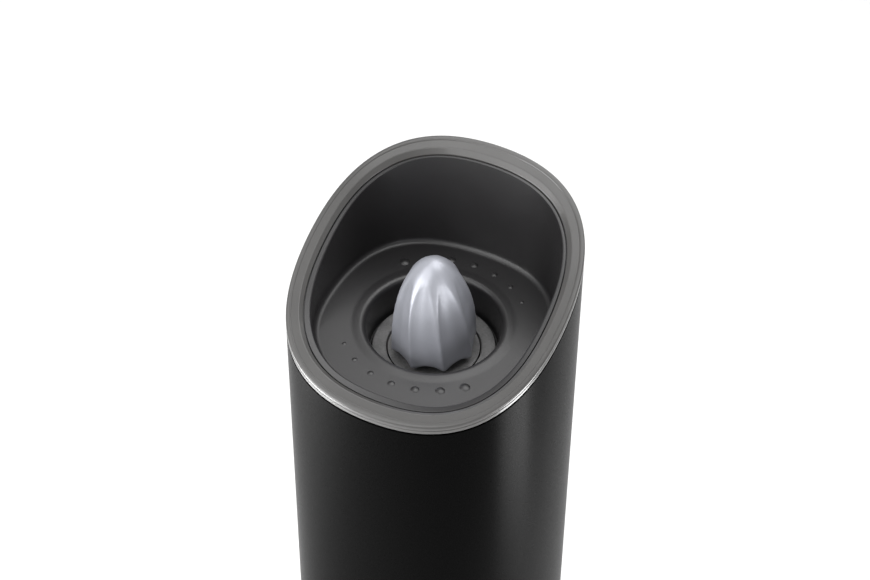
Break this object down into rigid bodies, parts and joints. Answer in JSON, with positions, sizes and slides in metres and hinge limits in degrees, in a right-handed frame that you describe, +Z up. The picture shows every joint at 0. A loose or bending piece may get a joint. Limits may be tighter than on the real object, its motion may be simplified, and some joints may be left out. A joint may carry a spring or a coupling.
{
  "type": "electric spice mill",
  "caption": "Battery tilt mill for pepper or salt with a slanted open mouth, a fluted coarseness knob over ceramic burrs, and a lift-off filling head.",
  "frame": {"origin": "centre of the foot ring's face, on the surface that the mill stands on", "axes": "+Z up along the shaft, -Y towards the low front of the mouth, +Y towards its high rear"},
  "size_m": [0.06, 0.06, 0.2151],
  "materials": {
    "black_shell": "satin moulded, faint long highlights",
    "rim_grey": "satin grey with a bright rounded outer bead",
    "insert_plastic": "fine moulded matte",
    "knob_chrome": "glossy plated",
    "burr_ceramic": "dense unglazed technical ceramic",
    "steel": "turned",
    "sintered_steel": "sintered, matte",
    "black_nylon": "moulded glass-filled nylon",
    "bronze": "sintered bronze, oiled",
    "brass_gear": "cut brass",
    "clear_plastic": "clear moulded, smoked",
    "black_rubber": "moulded silicone rubber",
    "gear_plastic": "moulded acetal",
    "magnet_ferrite": "sintered ferrite",
    "copper_winding": "lacquered copper wire over steel plates",
    "wire_red": "wire sleeve",
    "cell_wrap": "shrink film",
    "contact_plate": "nickel plated",
    "board_green": "solder mask",
    "chip_black": "moulded epoxy",
    "white_nylon": "moulded nylon",
    "light_lens": "frosted lens"
  },
  "bodies": {
    "base": {"base_shell": "black_shell", "base_deck": "black_nylon", "dust_seal": "black_rubber", "spigot_seal": "black_rubber", "gearbox_housing": "black_nylon", "gearbox_cover": "black_nylon", "cover_bush": "bronze", "cover_screws": "steel", "gearbox_screws": "steel", "motor_plate": "black_nylon", "motor_screws": "steel", "motor_can": "steel", "motor_magnets": "magnet_ferrite", "motor_bushes": "bronze", "motor_end_bell": "black_nylon", "motor_leads": "wire_red", "battery_cradle": "black_nylon", "battery_cells": "cell_wrap", "cell_contacts": "contact_plate", "cell_caps": "black_nylon", "battery_leads": "wire_red", "control_board": "board_green", "board_chips": "chip_black", "tilt_can": "steel", "board_spacers": "white_nylon", "board_screws": "steel", "usb_socket": "steel", "charge_light": "light_lens", "bottom_plate": "black_nylon", "bottom_screws": "steel", "foot_ring": "black_rubber"},
    "output": {"output_shaft": "steel", "planet_carrier": "sintered_steel", "planet_pins": "steel"},
    "planet_1": {"planet_gear_1": "gear_plastic"},
    "planet_2": {"planet_gear_2": "gear_plastic"},
    "planet_3": {"planet_gear_3": "gear_plastic"},
    "motor_rotor": {"motor_armature": "copper_winding", "motor_shaft": "steel", "motor_pinion": "brass_gear"},
    "tilt_weight": {"tilt_ball": "steel"},
    "head": {"head_sleeve": "black_shell", "rim_ring": "rim_grey", "mouth_insert": "insert_plastic", "outer_burr": "burr_ceramic", "burr_cage": "black_nylon", "cage_screws": "steel", "shaft_bush": "bronze", "spice_chamber": "clear_plastic", "chamber_gasket": "black_rubber"},
    "drive": {"drive_shaft": "steel", "shaft_clip": "steel", "coupling_socket": "black_nylon", "coupling_pin": "steel", "spring_seat": "steel", "burr_spring": "steel"},
    "burr": {"inner_burr": "burr_ceramic", "knob_washer": "steel"},
    "knob": {"adjuster_knob": "knob_chrome"}
  },
  "joints": [
    {"name": "head_lift", "type": "slide", "parent": "base", "child": "head", "axis": [0, 0, 1], "range_m": [0, 0.03]},
    {"name": "shaft_spin", "type": "hinge", "parent": "head", "child": "drive", "pos_m": [0, 0, 0.15], "axis": [0, 0, 1], "continuous": true},
    {"name": "burr_rise", "type": "slide", "parent": "drive", "child": "burr", "axis": [0, 0, 1], "range_m": [0, 0.0008], "deforming": ["burr_spring"]},
    {"name": "knob_turn", "type": "hinge", "parent": "burr", "child": "knob", "pos_m": [0, 0, 0.19], "axis": [0, 0, 1], "range_deg": [0, 360]},
    {"name": "output_spin", "type": "hinge", "parent": "base", "child": "output", "pos_m": [0, 0, 0.095], "axis": [0, 0, 1], "continuous": true},
    {"name": "motor_spin", "type": "hinge", "parent": "base", "child": "motor_rotor", "pos_m": [0, 0, 0.08], "axis": [0, 0, 1], "continuous": true},
    {"name": "tilt_roll", "type": "slide", "parent": "base", "child": "tilt_weight", "axis": [0, 0, 1], "range_m": [0, 0.0019]},
    {"name": "planet_1_spin", "type": "hinge", "parent": "output", "child": "planet_1", "pos_m": [0.009, 0, 0.092], "axis": [0, 0, 1], "continuous": true},
    {"name": "planet_2_spin", "type": "hinge", "parent": "output", "child": "planet_2", "pos_m": [-0.0045, 0.00779, 0.092], "axis": [0, 0, 1], "continuous": true},
    {"name": "planet_3_spin", "type": "hinge", "parent": "output", "child": "planet_3", "pos_m": [-0.0045, -0.00779, 0.092], "axis": [0, 0, 1], "continuous": true}
  ],
  "couplings": [
    {"joint": "knob_turn", "follows": "burr_rise", "rad_per_m": 7853.2},
    {"joint": "shaft_spin", "follows": "output_spin", "ratio": 1},
    {"joint": "motor_spin", "follows": "output_spin", "ratio": 5},
    {"joint": "planet_1_spin", "follows": "output_spin", "ratio": -2.6667},
    {"joint": "planet_2_spin", "follows": "output_spin", "ratio": -2.6667},
    {"joint": "planet_3_spin", "follows": "output_spin", "ratio": -2.6667}
  ]
}
